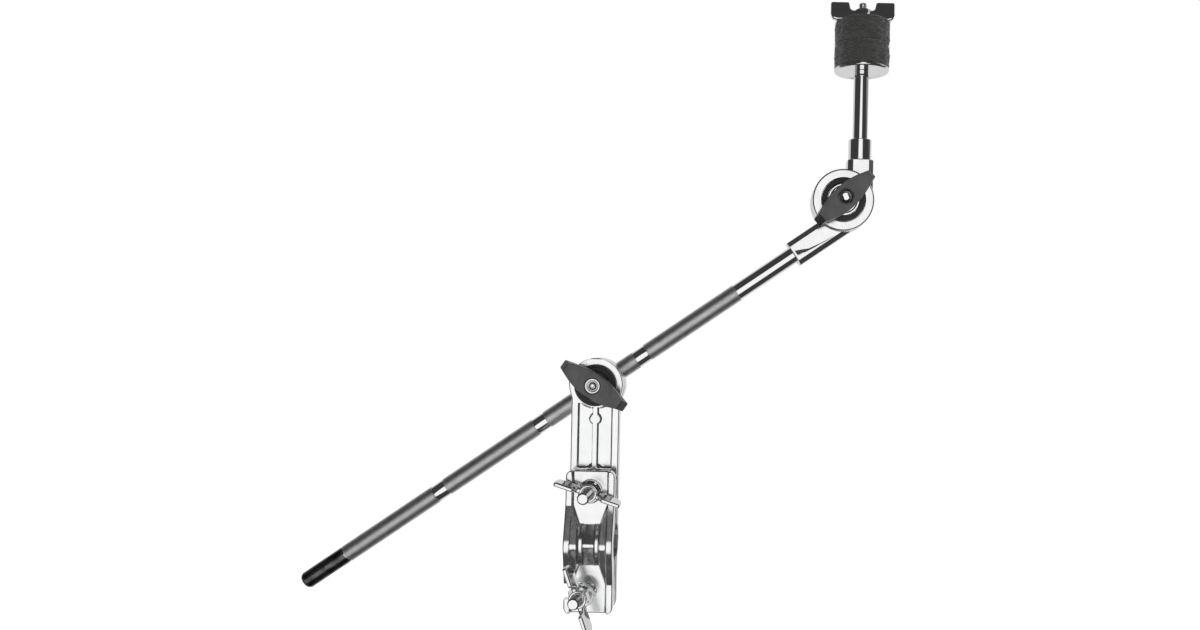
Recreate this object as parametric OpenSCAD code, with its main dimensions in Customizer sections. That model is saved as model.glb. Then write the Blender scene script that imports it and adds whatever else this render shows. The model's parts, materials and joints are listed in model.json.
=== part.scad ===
// Cymbal boom arm on a two-jaw tube clamp.
// Origin: centre of the gripped tube. +X runs along that tube, +Z up the bracket, -Y is the lever side.

/* [Tube clamp] */
// Radius of the tube that the jaws grip
seat_r = 12.7; // [11:0.1:13]
// Gap between the two jaws at rest
jaw_gap = 12; // [8:0.5:12]
// Width of both jaws and of the arm
bracket_w = 33.5; // [32:0.5:36]
// Height of the upper clamp bolt above the gripped tube
jaw_bolt_z = 36.6; // [34:0.1:39]
// Depth of the swing bolt below the gripped tube
swing_bolt_z = -31.7; // [-34:0.1:-29]
// Lean of the loosened swing bolt, in degrees
swing_lean = 5; // [0:0.5:8]

/* [Boom holder] */
// Height of the holder pivot above the gripped tube
hub_z = 108.5; // [100:0.5:120]
// Radius of the holder head and drum
head_r = 19; // [18:0.5:20]
// Distance from the gripped tube back to the boom axis
boom_y = 31; // [31:0.5:34]

/* [Boom] */
// Angle of the boom above horizontal, in degrees
boom_angle = 35; // [0:1:60]
// Radius over the knurl
knurl_r = 6.35; // [6.3:0.01:6.38]
// Radius of the smooth stretches
boom_r = 6.1; // [5.9:0.01:6.12]
// Radius of the tube's hollow
boom_bore_r = 4.6; // [4:0.1:5]
// Length of tube below the holder pivot
boom_low = 257; // [240:1:270]
// Length of each knurled stretch
knurl_len = 78; // [70:0.5:79]
// Length of each smooth band between the knurls
band_len = 9.6; // [8:0.1:10]
// Length of the plain low end
plain_len = 35; // [20:1:36]

/* [Tilter] */
// Distance along the boom from the holder pivot to the tilter pivot
tilter_along = 219; // [215:1:240]
// Distance from the tilter pivot to the tube and rod axes
tilter_offset = 12.4; // [11.5:0.1:12.5]
// Radius of the ratchet drums
drum_r = 22.2; // [21.5:0.1:23]
// Width of the square socket and neck
block_w = 18.6; // [18:0.1:19]

/* [Cymbal seat] */
// Height of the neck's top above the tilter pivot
neck_h = 30; // [29.5:0.5:34]
// Height of the rod's shoulder above the neck
rod_h = 65.2; // [40:0.1:90]
// Radius of the rod
rod_r = 5.5; // [5:0.1:6]
// Radius of the felts
felt_r = 20; // [16:0.5:22]
// Thickness of one felt
felt_h = 16.9; // [10:0.1:20]
// Radius of the threaded stud
stud_r = 3; // [2.5:0.1:3]
// Length of the stud above the shoulder
stud_len = 49.4; // [49:0.1:60]

/* [Wing nuts and levers] */
// Half the span of a wing nut
wing_span = 23.3; // [20:0.1:25]
// Height of a wing nut's wings
wing_h = 14.4; // [11:0.1:15]
// Thickness of a wing
wing_t = 4.7; // [3:0.1:5]
// Radius of the clamp bolts
bolt_r = 4; // [3.5:0.1:4]
// Half the length of a black lever
lever_len = 26.4; // [22:0.1:27]
// Turn of the holder lever from horizontal, in degrees
holder_lever_turn = -34; // [-90:1:90]
// Turn of the tilter lever from horizontal, in degrees
tilter_lever_turn = 43; // [-90:1:90]

/* [Hidden] */
$fn = 96;
eps = 0.01;            // overlap that keeps cuts clean
run = 0.06;            // radial clearance of a running fit
far = 60;              // longer than any cut needs
top_z = 50.6;          // top of the front jaw
low_z = -47;           // bottom of both jaws
half_gap = jaw_gap / 2;
clamp_foot = 3.6;      // lift of the clamp nuts' wings, clear of the jaw
corner_r = 4;          // outer corners of the castings
web_y = half_gap + 4;  // front of the thin web of the front jaw
flat_y = half_gap + 7.5;
wave_z = 27;           // half length of the swelling over the tube
wave_slope = 0.32;     // fall of the swelling's straight flanks
wave_crest = 4;        // half length of its rounded crest
wave_r = wave_crest / sin(atan(wave_slope));
wave_h = wave_slope * (wave_z - wave_crest) + wave_r * (1 - cos(atan(wave_slope)));
rim_w = 4.4;           // width of the raised side rims
rim_step = 0.8;
strip_w = 14.4;        // width of the strip over the tube
groove_w = 8;
bulge_r = seat_r + 4.6;
back_bulge_r = seat_r + 5.3;
arm_back = half_gap + 8;
head_front = half_gap - 2;
panel_y = head_front + 3;
arm_low = 44;          // lower end of the arm's full thickness
panel_w = bracket_w - 2 * 5.1;
panel_z = 50.4;         // lower end of the sunk panels
boss_r = 16;           // plain ring of the head round the lever
pin_y = half_gap + 4;  // swing pin
eye_r = 6.5;
eye_w = 9.6;
swing_reach = 31;      // from the swing pin to the washer
bolt_reach = 56;       // from the swing pin to the bolt's end
bolt_end_y = -45;
drum_front = arm_back + 0.3;
drum_back = boom_y - 3;
disc_r = 14.6;         // black disc of the holder
ring_r = 15.5;         // black ring of the tilter
holder_disc_h = 4;
lever_h = 13;
lever_gap = 0.3;
insert_r = 5.5;
m6 = 3;
boom_top = tilter_along - 23.5;
socket_len = 50.9;     // from the tilter pivot to the socket's mouth
half_depth = 12;       // half the depth of the tilter
tang_w = 3.4;          // thickness of the flats at the tilter bolt's end
tang_turn = 23;
split = 0.25;          // from the middle to each ratchet face
chamfer = 3.4;
recess_r = 17;         // ring of ratchet teeth
teeth = 24;
tooth_h = 0.9;
tooth_r = 11.5;        // inner end of each ratchet tooth
tooth_len = 4.6;
cup_h = 1.5;
cup_lip = 0.7;
hub_x = tilter_along * cos(boom_angle) - tilter_offset * sin(boom_angle);
tilter_z = hub_z + tilter_along * sin(boom_angle) + tilter_offset * cos(boom_angle);
rod_x = hub_x + tilter_offset;
neck_z = tilter_z + neck_h;
collar_h = 15.1;
collar_r = 8.3;
shoulder_z = neck_z + rod_h;
tip_bevel = 0.8;       // bevel at the end of the stud
felt_gap = 0.2;
felt_bore_r = 6.6;
sleeve_r = 6.2;
felt_z = shoulder_z + cup_h + felt_gap;

// ---- shared shapes ----

// Round bar along Y
module rod_y(r, y0, y1) {
    translate([0, y0, 0]) rotate([-90, 0, 0]) cylinder(r = r, h = y1 - y0);
}

// Flat outline in X and Z, as thick as from y0 to y1
module slab(y0, y1) {
    translate([0, y1, 0]) rotate([90, 0, 0]) linear_extrude(y1 - y0) children();
}

// Outline in Y and Z, drawn out along X and centred
module bar_x(w) {
    translate([-w / 2, 0, 0]) rotate([90, 0, 90]) linear_extrude(w) children();
}

module round_rect(x, z0, z1, r) {
    translate([-x, z0 + r]) square([2 * x, z1 - z0 - 2 * r]);
    translate([r - x, z0]) square([2 * (x - r), z1 - z0]);
    for (sx = [-1, 1], z = [z0 + r, z1 - r]) translate([sx * (x - r), z]) circle(r);
}

// Boom frame: origin on the holder pivot, X up the boom
module boom_place() {
    translate([0, boom_y, hub_z]) rotate([0, -boom_angle, 0]) children();
}

// Tilter frame: origin on the tilter pivot, axes as the part's
module tilter_place() {
    translate([hub_x, boom_y, tilter_z]) children();
}

// Swing bolt frame: origin on the pin, Z out along the bolt
module swing_place() {
    translate([0, pin_y, swing_bolt_z]) rotate([0, 0, -swing_lean]) rotate([90, 0, 0]) children();
}

// Square bar along X with chamfered corners
module chamfered_bar(x0, x1) {
    h = block_w / 2;
    c = h - chamfer;
    translate([x0, 0, 0]) rotate([90, 0, 90]) linear_extrude(x1 - x0)
        polygon([[-h, -c], [-c, -h], [c, -h], [h, -c], [h, c], [c, h], [-c, h], [-h, c]]);
}

// Wing nut that stands on Z = 0, with a foot that lifts its wings
module wing_nut(bore, foot) {
    side = [[4, 0.8], [19.6, 0.8], [wing_span - 1, 2.2], [wing_span, 5], [wing_span, wing_h],
        [9.6, wing_h], [8.4, 8], [4, 8.6]];
    difference() {
        union() {
            rotate_extrude() polygon([[0, 0], [8, 0], [8, 1.6 + foot / 2], [6.9, 2.4 + foot],
                [6, 8.8 + foot], [0, 8.8 + foot]]);
            for (turn = [0, 180]) rotate([0, 0, turn])
                translate([0, wing_t / 2, foot]) rotate([90, 0, 0]) linear_extrude(wing_t)
                    polygon(side);
        }
        translate([0, 0, -eps]) cylinder(r = bore + run, h = far);
    }
}

module flat_washer(r, bore, h) {
    difference() {
        cylinder(r = r, h = h);
        translate([0, 0, -eps]) cylinder(r = bore, h = h + 2 * eps);
    }
}

// Wing lever: base at Y = 0, front face at Y = -lever_h
module wing_lever(turn) {
    outline = [[lever_len, -3.3], [lever_len, 3.3], [15, 6.4], [7, 8.4], [-7, 8.4], [-15, 6.4],
        [-lever_len, 3.3], [-lever_len, -3.3], [-15, -6.4], [-7, -8.4], [7, -8.4], [15, -6.4]];
    difference() {
        union() {
            rod_y(8.6, -lever_h + 1, 0);
            rotate([0, -turn, 0]) slab(-lever_h, -3.6) polygon(outline);
        }
        rod_y(insert_r, -far, far);
    }
}

module lever_nut() {
    difference() {
        rod_y(insert_r, -lever_h + 0.4, -0.4);
        rod_y(m6 + run, -far, far);
    }
}

// Sweep of a round wire along a helix round Y, with closed ends
module coil(r, wire, y0, y1, turns) {
    sides = 8;
    steps = turns * 16;
    pitch_y = (y1 - y0 - 2 * wire) / steps;
    points = [for (i = [0:steps], k = [0:sides - 1])
        let (a = 360 * i / 16, b = 360 * k / sides, rr = r + wire * cos(b))
        [rr * cos(a), y0 + wire + pitch_y * i + wire * sin(b), rr * sin(a)]];
    skin = [for (i = [0:steps - 1], k = [0:sides - 1])
        let (n = (k + 1) % sides)
        [i * sides + k, i * sides + n, (i + 1) * sides + n, (i + 1) * sides + k]];
    caps = [[for (k = [0:sides - 1]) sides - 1 - k], [for (k = [0:sides - 1]) steps * sides + k]];
    polyhedron(points = points, faces = concat(skin, caps));
}

// ---- clamp and bracket ----

// Front line of the front jaw: swells over the gripped tube. sink lowers it.
function swell(z) =
    abs(z) < wave_crest ? wave_h - wave_r + sqrt(wave_r * wave_r - z * z)
        : max(0, wave_slope * (wave_z - abs(z)));

function wave_line(sink) =
    concat([[sink - flat_y, top_z]],
        [for (z = [wave_z, 4, 3, 2, 1, 0, -1, -2, -3, -4, -wave_z]) [sink - flat_y - swell(z), z]],
        [[sink - flat_y, low_z]]);

module arm_panel() {
    difference() {
        round_rect(panel_w / 2, panel_z, hub_z - 13, 3);
        translate([0, hub_z]) circle(boss_r);
        translate([-1.85, 40]) square([3.7, 60]);
        translate([0, 84.8]) circle(3.9);
    }
}

module bracket_arm() {
    color("silver") difference() {
        union() {
            slab(half_gap, arm_back) round_rect(bracket_w / 2, low_z, hub_z, corner_r);
            slab(head_front, arm_back) translate([-bracket_w / 2, arm_low])
                square([bracket_w, hub_z - arm_low]);
            translate([0, 0, hub_z]) rod_y(head_r, head_front, arm_back);
            intersection() {
                bar_x(bracket_w) circle(back_bulge_r);
                translate([-far, half_gap, -far]) cube(2 * far);
            }
        }
        bar_x(2 * far) circle(seat_r);
        slab(head_front - eps, panel_y) arm_panel();
        slab(arm_back - 2, arm_back + eps) round_rect(panel_w / 2, panel_z, hub_z - head_r - 4, 3);
        translate([0, 0, hub_z]) rod_y(m6 + run, -far, far);
        translate([-bolt_r, -far, jaw_bolt_z - bolt_r]) cube([2 * bolt_r, 2 * far, 2 * bolt_r]);
        translate([-far, -far, swing_bolt_z - 5.2]) cube([far + 7.3, 2 * far, 10.4]);
        translate([0, pin_y, swing_bolt_z - 12]) cylinder(r = 2.5, h = 24);
    }
}

module front_jaw() {
    strip = strip_w / 2;
    pocket = bracket_w / 2 - rim_w - 0.4;
    color("gainsboro") difference() {
        intersection() {
            bar_x(bracket_w) polygon(concat([[-half_gap, low_z], [-half_gap, top_z]], wave_line(0)));
            slab(-far, far) round_rect(bracket_w / 2, low_z, top_z, corner_r);
        }
        bar_x(2 * pocket + 0.8) polygon(concat([[-far, low_z], [-far, top_z]], wave_line(rim_step)));
        difference() {
            slab(-far, -web_y) polygon([[-pocket, top_z + 1], [-pocket, wave_z], [-strip, 13],
                [-strip, -13], [-pocket, -wave_z], [-pocket, low_z - 1], [pocket, low_z - 1],
                [pocket, -wave_z], [strip, -13], [strip, 13], [pocket, wave_z], [pocket, top_z + 1]]);
            bar_x(strip_w + 2) circle(bulge_r);
            bar_x(2 * far) circle(bulge_r - 1);
        }
        difference() {
            bar_x(groove_w) circle(bulge_r + 3);
            bar_x(groove_w + 2) circle(bulge_r - 1.1);
        }
        bar_x(2 * far) circle(seat_r);
        translate([0, 0, jaw_bolt_z]) rod_y(bolt_r + 0.4, -far, far);
        translate([0, 0, swing_bolt_z]) rod_y(bolt_r + 1.5, -far, far);
        translate([-far, -far, swing_bolt_z - bolt_r - 1.5]) cube([far, 2 * far, 2 * bolt_r + 3]);
    }
}

module jaw_bolt() {
    color("silver") translate([0, 0, jaw_bolt_z]) {
        rod_y(bolt_r, bolt_end_y + 1.2, half_gap);
        translate([0, bolt_end_y + 1.2, 0]) rotate([90, 0, 0]) cylinder(r1 = bolt_r, r2 = 3, h = 1.2);
        translate([-bolt_r, half_gap, -bolt_r]) cube([2 * bolt_r, arm_back - half_gap, 2 * bolt_r]);
        translate([0, arm_back, 0]) rotate([-90, 0, 0]) intersection() {
            cylinder(r = 9, h = 4.4);
            translate([0, 0, -7.4]) sphere(11.8);
        }
    }
}

module jaw_washer() {
    color("silver") translate([0, -web_y, jaw_bolt_z]) rotate([90, 0, 0])
        flat_washer(8.3, bolt_r + 0.3, 1.6);
}

module jaw_wing_nut() {
    color("gainsboro") translate([0, -web_y - 1.8, jaw_bolt_z]) rotate([90, 0, 0])
        rotate([0, 0, -18]) wing_nut(bolt_r, clamp_foot);
}

module swing_bolt() {
    color("silver") swing_place() difference() {
        union() {
            translate([0, eye_w / 2, 0]) rotate([90, 0, 0]) cylinder(r = eye_r, h = eye_w);
            cylinder(r = bolt_r, h = bolt_reach - 1.2);
            translate([0, 0, bolt_reach - 1.2]) cylinder(r1 = bolt_r, r2 = 3, h = 1.2);
        }
        translate([0, far, 0]) rotate([90, 0, 0]) cylinder(r = 2.5 + run, h = 2 * far);
    }
}

module swing_pin() {
    color("dimgray") translate([0, pin_y, swing_bolt_z - 12]) cylinder(r = 2.5, h = 24);
}

module swing_washer() {
    color("silver") swing_place() translate([0, 0, swing_reach]) flat_washer(8.3, bolt_r + run, 1.6);
}

module swing_wing_nut() {
    color("gainsboro") swing_place() translate([0, 0, swing_reach + 1.8])
        rotate([0, 0, -70]) wing_nut(bolt_r, clamp_foot);
}

// ---- boom holder ----

module holder_drum() {
    color("silver") difference() {
        translate([0, 0, hub_z]) rod_y(head_r, drum_front, drum_back);
        boom_place() rotate([0, 90, 0]) cylinder(r = knurl_r + run, h = 2 * far, center = true);
        boom_place() translate([-5.4, -10.6, -11]) cube([10.8, far, 22]);
        translate([0, 0, hub_z]) rod_y(m6 + 0.3, -far, far);
        translate([0, 0, hub_z]) rod_y(7.5, -far, drum_front + 5);
    }
}

module eye_bolt() {
    color("silver") difference() {
        union() {
            boom_place() rotate([0, 90, 0]) cylinder(r = 10.3, h = 10, center = true);
            translate([0, 0, hub_z]) rod_y(m6, head_front - holder_disc_h - lever_h + 0.6, boom_y - 9);
        }
        boom_place() rotate([0, 90, 0]) cylinder(r = knurl_r + run, h = far, center = true);
        translate([0, 0, hub_z]) rod_y(1.2, -far, head_front - holder_disc_h - lever_h + 1.8);
    }
}

module holder_spring() {
    color("dimgray") translate([0, 0, hub_z]) coil(5.4, 0.5, drum_front + 0.1, drum_front + 4.9, 3);
}

module holder_washer() {
    color("#202020") translate([0, 0, hub_z]) difference() {
        union() {
            rod_y(disc_r, head_front - holder_disc_h, head_front);
            rod_y(12.4, head_front - holder_disc_h - 1, head_front);
        }
        rod_y(m6 + 0.3, -far, far);
        rod_y(10.4, -far, head_front - holder_disc_h);
    }
}

module holder_lever() {
    color("#2a2a2a") translate([0, head_front - holder_disc_h - lever_gap, hub_z])
        wing_lever(holder_lever_turn);
}

module holder_lever_nut() {
    color("silver") translate([0, head_front - holder_disc_h - lever_gap, hub_z]) lever_nut();
}

// ---- boom ----

module boom_tube() {
    color("gray") boom_place() rotate([0, 90, 0]) difference() {
        union() {
            translate([0, 0, -boom_low]) cylinder(r = boom_r, h = boom_low + boom_top);
            for (i = [0:3]) translate([0, 0, plain_len - boom_low + i * (knurl_len + band_len)])
                cylinder(r = knurl_r, h = knurl_len);
        }
        translate([0, 0, -boom_low - eps]) cylinder(r = boom_bore_r, h = boom_low + boom_top + 2 * eps);
    }
}

module boom_plug() {
    color("#1c1c1c") boom_place() rotate([0, 90, 0]) translate([0, 0, -boom_low]) {
        cylinder(r = boom_bore_r, h = 12);
        translate([0, 0, -1.2]) cylinder(r1 = boom_r - 1, r2 = boom_r - 0.2, h = 1.2);
    }
}

// ---- tilter ----

// Half of the ratchet, from the split out to Y = half_depth, with teeth towards the split
module ratchet_half() {
    difference() {
        rod_y(drum_r, split, half_depth);
        rod_y(recess_r, 0, split + tooth_h + 0.1);
    }
    for (i = [0:teeth - 1]) rotate([0, i * 360 / teeth, 0])
        translate([tooth_r, split + tooth_h + 0.1, 0]) rotate([90, 0, 90]) linear_extrude(tooth_len)
            polygon([[0.3, -0.9], [-tooth_h, 0], [0.3, 0.9]]);
}

module tilter_socket() {
    color("gainsboro") tilter_place() difference() {
        union() {
            ratchet_half();
            rotate([0, -boom_angle, 0]) difference() {
                translate([0, 0, -tilter_offset]) chamfered_bar(-socket_len, -6);
                rod_y(drum_r + 0.6, -far, split);
                rod_y(drum_r - 1, split - eps, split + 2);
            }
        }
        rotate([0, -boom_angle, 0]) translate([-socket_len - 1, 0, -tilter_offset]) rotate([0, 90, 0])
            cylinder(r = boom_r + run, h = socket_len - 21.9);
        rotate([0, -boom_angle, 0]) translate([-37, 0, -tilter_offset]) rod_y(1.6, 0, far);
        rod_y(m6, -far, far);
        rod_y(7, -far, 5);
    }
}

module socket_screw() {
    color("dimgray") tilter_place() rotate([0, -boom_angle, 0]) translate([-37, 0, -tilter_offset])
        difference() {
            rod_y(1.6, boom_r + 0.25, 9);
            translate([0, 9 + eps, 0]) rotate([90, 0, 0]) cylinder(r = 0.8, h = 1.4, $fn = 6);
        }
}

module tilter_head() {
    color("gainsboro") tilter_place() difference() {
        union() {
            mirror([0, 1, 0]) rotate([0, 180 / teeth, 0]) ratchet_half();
            difference() {
                translate([tilter_offset, 0, 0]) rotate([0, -90, 0]) chamfered_bar(5, neck_h);
                rod_y(drum_r + 0.6, -split, far);
                rod_y(drum_r - 1, -split - 2, -split + eps);
            }
        }
        translate([tilter_offset, 0, neck_h - 8]) cylinder(r = bolt_r, h = far);
        rod_y(m6 + run, -far, far);
        rod_y(7, -5, far);
        rod_y(ring_r + 0.2, -far, -half_depth + 1);
    }
}

module tilter_bolt() {
    lever_front = -half_depth - 2 - lever_h;
    color("silver") tilter_place() difference() {
        union() {
            rod_y(m6, lever_front + 0.6, half_depth);
            translate([0, half_depth, 0]) rotate([-90, 0, 0]) cylinder(r = 5.77, h = 4, $fn = 6);
        }
        for (turn = [0, 180]) rotate([0, turn - tang_turn, 0])
            translate([tang_w / 2, lever_front, -far]) cube([far, 3.4, 2 * far]);
    }
}

module tilter_spring() {
    color("dimgray") tilter_place() coil(5, 0.6, -4.9, 4.9, 5);
}

module tilter_ring() {
    color("#202020") tilter_place() difference() {
        rod_y(ring_r, -half_depth - 2, -half_depth + 1);
        rod_y(11.7, -far, far);
    }
}

module tilter_thrust_washer() {
    color("silver") tilter_place() difference() {
        union() {
            rod_y(11.5, -half_depth - 1.2, -half_depth + 1);
            rod_y(9.3, -half_depth - 2, -half_depth + 1);
        }
        rod_y(m6 + 0.3, -far, far);
    }
}

module tilter_lever() {
    color("#2a2a2a") tilter_place() translate([0, -half_depth - 2 - lever_gap, 0])
        wing_lever(tilter_lever_turn);
}

module tilter_lever_nut() {
    color("silver") tilter_place() translate([0, -half_depth - 2 - lever_gap, 0]) lever_nut();
}

// ---- cymbal seat ----

module seat_place(z) {
    translate([rod_x, boom_y, z]) children();
}

module rod_collar() {
    color("silver") seat_place(neck_z) difference() {
        cylinder(r = collar_r, h = collar_h);
        translate([0, 0, -eps]) cylinder(r = rod_r, h = far);
    }
}

module cymbal_rod() {
    color("silver") seat_place(neck_z) {
        translate([0, 0, -8]) cylinder(r = bolt_r, h = 8);
        cylinder(r = rod_r, h = rod_h);
        translate([0, 0, rod_h]) cylinder(r = stud_r, h = stud_len - tip_bevel);
        translate([0, 0, rod_h + stud_len - tip_bevel])
            cylinder(r1 = stud_r, r2 = stud_r - tip_bevel, h = tip_bevel);
    }
}

module cup_washer() {
    color("lightgray") seat_place(shoulder_z) rotate_extrude() polygon([[stud_r, 0], [17.6, 0],
        [18, -cup_lip], [19.4, -cup_lip], [19.8, 0], [19.8, cup_h], [stud_r, cup_h]]);
}

module felt_sleeve() {
    color("#303030") seat_place(shoulder_z + cup_h)
        flat_washer(sleeve_r, stud_r, 2 * felt_h + 2 * felt_gap - 2.5);
}

module felt(z) {
    color("#3a3a38") seat_place(z) difference() {
        cylinder(r = felt_r, h = felt_h);
        translate([0, 0, -eps]) cylinder(r = felt_bore_r, h = far);
    }
}

module felt_lower() {
    felt(felt_z);
}

module felt_upper() {
    felt(felt_z + felt_h + felt_gap);
}

module cymbal_wing_nut() {
    color("gainsboro") seat_place(felt_z + 2 * felt_h + 2 * felt_gap) wing_nut(stud_r, 0);
}

bracket_arm();
front_jaw();
jaw_bolt();
jaw_washer();
jaw_wing_nut();
swing_bolt();
swing_pin();
swing_washer();
swing_wing_nut();
holder_drum();
eye_bolt();
holder_spring();
holder_washer();
holder_lever();
holder_lever_nut();
boom_tube();
boom_plug();
tilter_socket();
socket_screw();
tilter_head();
tilter_bolt();
tilter_spring();
tilter_ring();
tilter_thrust_washer();
tilter_lever();
tilter_lever_nut();
rod_collar();
cymbal_rod();
cup_washer();
felt_sleeve();
felt_lower();
felt_upper();
cymbal_wing_nut();
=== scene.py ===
"""Cymbal boom arm on a tube clamp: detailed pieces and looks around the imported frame.

Lengths in the builders are millimetres in the part's own frame; meshes are made in metres.
Pieces turned about a bolt use a local frame whose Z runs out along that bolt.
"""

import json
import math
import random

import bmesh
import bpy
import numpy as np
from mathutils import Matrix, Vector, noise


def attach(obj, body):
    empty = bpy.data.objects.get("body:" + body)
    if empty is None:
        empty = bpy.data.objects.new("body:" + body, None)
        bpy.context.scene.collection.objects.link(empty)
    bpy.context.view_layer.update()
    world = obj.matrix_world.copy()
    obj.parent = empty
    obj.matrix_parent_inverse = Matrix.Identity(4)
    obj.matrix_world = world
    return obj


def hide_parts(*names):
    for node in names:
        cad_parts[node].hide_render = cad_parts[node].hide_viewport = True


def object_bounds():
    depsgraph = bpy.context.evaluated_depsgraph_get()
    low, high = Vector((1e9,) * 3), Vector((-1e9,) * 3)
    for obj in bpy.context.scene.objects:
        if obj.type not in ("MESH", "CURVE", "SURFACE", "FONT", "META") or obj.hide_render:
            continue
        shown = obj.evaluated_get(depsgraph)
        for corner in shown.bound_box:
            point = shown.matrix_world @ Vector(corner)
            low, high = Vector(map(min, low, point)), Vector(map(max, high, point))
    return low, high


MM = 0.001
TAU = 2 * math.pi
M8 = 4.0, 1.25, 0.55    # radius, pitch and depth of a thread
M6 = 3.0, 1.0, 0.4
ON_EDGE = Matrix.Rotation(math.pi / 2, 4, "X")
CREASE = math.radians(36)

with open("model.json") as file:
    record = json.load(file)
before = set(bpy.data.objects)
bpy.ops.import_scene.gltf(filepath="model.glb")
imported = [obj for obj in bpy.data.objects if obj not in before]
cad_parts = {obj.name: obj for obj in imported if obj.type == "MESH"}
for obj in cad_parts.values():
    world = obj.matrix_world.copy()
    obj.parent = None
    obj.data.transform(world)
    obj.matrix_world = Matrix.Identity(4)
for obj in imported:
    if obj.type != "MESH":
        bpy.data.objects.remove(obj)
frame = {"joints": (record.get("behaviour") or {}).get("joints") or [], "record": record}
cad_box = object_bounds()
joints = {j["name"]: j for j in frame["joints"]}
mounts = {m["name"]: m for m in frame["record"]["mounts"]}


# ---------------------------------------------------------------- places

def mm(point):
    return Vector(point) / MM


def place(origin, z_axis, x_axis):
    """Local frame in millimetres: origin, Z along z_axis, X as near x_axis as it can be."""
    z = Vector(z_axis).normalized()
    y = z.cross(Vector(x_axis)).normalized()
    x = y.cross(z)
    m = Matrix((x, y, z)).transposed().to_4x4()
    m.translation = Vector(origin)
    return m


FRONT = Vector((0, -1, 0))
RIGHT = Vector((1, 0, 0))
UP = Vector((0, 0, 1))
hub = mm(joints["boom_tilt"]["pos_m"])
tilter = mm(joints["tilter_tilt"]["pos_m"])
boom_dir = Vector(joints["boom_slide"]["axis"]).normalized()
boom_y = mm(mounts["boom_tail"]["pos_m"]).y
seat = mm(mounts["cymbal_seat"]["pos_m"])
swing_pivot = mm(joints["swing_bolt_swing"]["pos_m"])
swing_dir = Vector(joints["swing_slider_slide"]["axis"]).normalized()
jaw_bolt_z = mm(joints["jaw_nut_spin"]["pos_m"]).z

at_part = place((0, 0, 0), FRONT, RIGHT)
at_jaw_bolt = place((0, 0, jaw_bolt_z), FRONT, RIGHT)
at_swing = place((0, swing_pivot.y, swing_pivot.z), swing_dir, RIGHT)
at_hub = place((0, 0, hub.z), FRONT, RIGHT)
at_tilter = place((tilter.x, boom_y, tilter.z), FRONT, RIGHT)
at_boom = place((0, boom_y, hub.z), boom_dir, FRONT)
at_rod = place((seat.x, boom_y, 0), UP, RIGHT)


def turned(base, degrees, shift=0):
    return base @ Matrix.Translation((0, 0, shift)) @ Matrix.Rotation(math.radians(degrees), 4, "Z")


# ---------------------------------------------------------------- mesh helpers

ROUND_STEPS = 5


def polar(radius, angle, *height):
    return (radius * math.cos(angle), radius * math.sin(angle), *height)


def fillet(points, closed=True, steps=ROUND_STEPS):
    """Rounds the corners of a 2D line. Each point is (x, y) or (x, y, radius)."""
    out = []
    n = len(points)
    for i, p in enumerate(points):
        radius = p[2] if len(p) > 2 else 0
        if radius <= 0 or (not closed and i in (0, n - 1)):
            out.append((p[0], p[1]))
            continue
        b = Vector(p[:2])
        u = Vector(points[i - 1][:2]) - b
        v = Vector(points[(i + 1) % n][:2]) - b
        reach = 0.49 * min(u.length, v.length)
        u.normalize()
        v.normalize()
        half = u.angle(v) / 2
        t = min(radius / math.tan(half), reach)
        start, end = b + u * t, b + v * t
        centre = b + (u + v).normalized() * (t / math.cos(half))
        a0, a1 = start - centre, end - centre
        sweep = math.atan2(a0.x * a1.y - a0.y * a1.x, a0.dot(a1))
        for k in range(steps + 1):
            a = sweep * k / steps
            c, s = math.cos(a), math.sin(a)
            q = centre + Vector((a0.x * c - a0.y * s, a0.x * s + a0.y * c))
            out.append((q.x, q.y))
    return out


def grid_faces(rows, cols, wrap_rows=False, wrap_cols=False, start=0):
    faces = []
    for i in range(rows if wrap_rows else rows - 1):
        a, b = start + i * cols, start + ((i + 1) % rows) * cols
        for k in range(cols if wrap_cols else cols - 1):
            n = (k + 1) % cols
            faces.append((a + k, a + n, b + n, b + k))
    return faces


def lathe(profile, seg=96, closed=False):
    """Turns a profile of (radius, height[, fillet]) about Z. A closed one is a ring with a bore."""
    line = fillet(profile, closed)
    verts, faces, rings = [], [], []
    for r, h in line:
        rings.append(len(verts))
        if r < 1e-6:
            verts.append((0, 0, h))
        else:
            verts += [polar(r, TAU * k / seg, h) for k in range(seg)]
    n = len(line)
    for i in range(n if closed else n - 1):
        a, b = rings[i], rings[(i + 1) % n]
        pole_a, pole_b = line[i][0] < 1e-6, line[(i + 1) % n][0] < 1e-6
        for k in range(seg):
            m = (k + 1) % seg
            if pole_a and not pole_b:
                faces.append((a, b + m, b + k))
            elif pole_b and not pole_a:
                faces.append((a + k, a + m, b))
            elif not pole_a:
                faces.append((a + k, a + m, b + m, b + k))
    return verts, faces


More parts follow.
